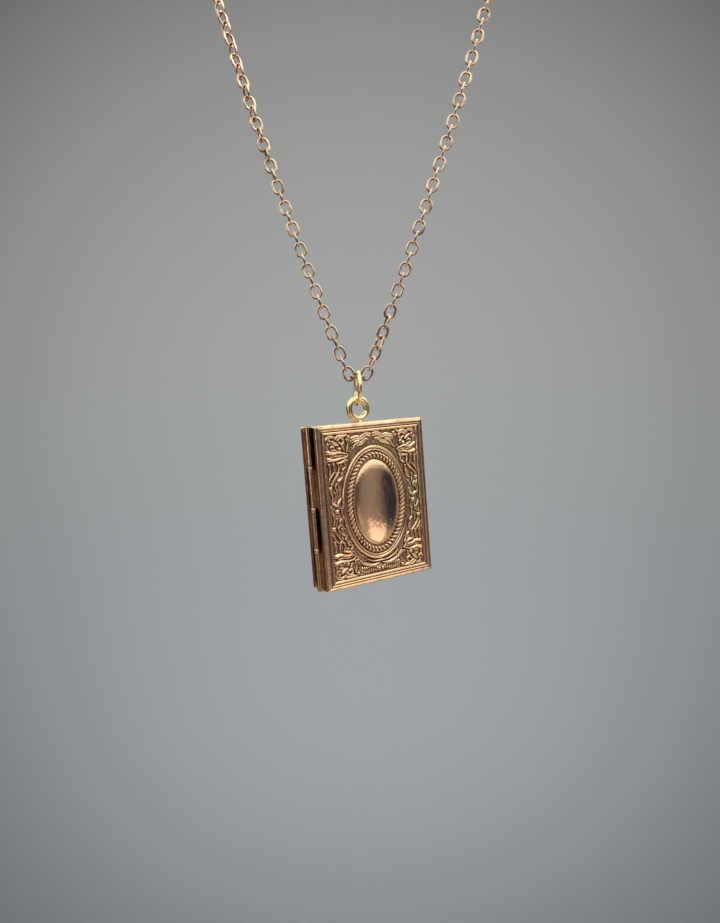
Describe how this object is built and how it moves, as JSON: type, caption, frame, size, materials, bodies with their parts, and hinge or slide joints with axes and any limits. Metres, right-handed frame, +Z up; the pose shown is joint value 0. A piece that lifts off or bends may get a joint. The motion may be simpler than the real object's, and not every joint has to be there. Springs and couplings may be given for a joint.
{
  "type": "book locket on a cable chain necklace",
  "caption": "Hinged book-shaped locket with scrollwork cover and oval medallion, hung by a ring on a closed cable chain worn round the neck.",
  "frame": {"origin": "the nape mount: the middle of the clasp at the top of the closed chain, where the necklace hangs", "axes": "+Z up, the long way of the hanging necklace; +X across the loop, to the wearer's left as seen from the front; +Y backwards, from the viewer to the wearer, the loop's thin direction. The locket hangs turned about +Z as in the picture"},
  "size_m": [0.0783, 0.017, 0.2072],
  "materials": {
    "cover_metal": "stamped rose-gold-toned brass, polished high spots, brown in the hollows",
    "pin_metal": "drawn brass wire, dulled",
    "leaf_metal": "plain rolled brass, satin",
    "ring_metal": "yellow brass wire, polished",
    "chain_metal": "rose-gold-toned brass wire, polished, dull in the bends"
  },
  "bodies": {
    "necklace": {"chain_left": "chain_metal", "chain_right": "chain_metal", "clasp": "ring_metal"},
    "hanging_ring": {"jump_ring": "ring_metal"},
    "locket_back": {"back_cover": "cover_metal", "hinge_pin": "pin_metal"},
    "locket_leaf": {"picture_leaf": "leaf_metal"},
    "locket_front": {"front_cover": "cover_metal"}
  },
  "joints": [
    {"name": "ring_swing", "type": "hinge", "parent": "necklace", "child": "hanging_ring", "pos_m": [0, 0, -0.17363], "axis": [0.9903, 0.1392, 0], "range_deg": [-30, 30]},
    {"name": "locket_swing", "type": "hinge", "parent": "hanging_ring", "child": "locket_back", "pos_m": [0, 0, -0.17623], "axis": [-0.1392, 0.9903, 0], "range_deg": [-25, 25]},
    {"name": "cover_hinge", "type": "hinge", "parent": "locket_back", "child": "locket_front", "pos_m": [-0.00709, -0.00507, -0.19308], "axis": [0.0629, 0.0803, -0.9948], "range_deg": [0, 170]},
    {"name": "leaf_hinge", "type": "hinge", "parent": "locket_back", "child": "locket_leaf", "pos_m": [-0.00709, -0.00507, -0.19308], "axis": [0.0629, 0.0803, -0.9948], "range_deg": [0, 85]}
  ],
  "couplings": [
    {"joint": "leaf_hinge", "follows": "cover_hinge", "ratio": 0.5}
  ]
}
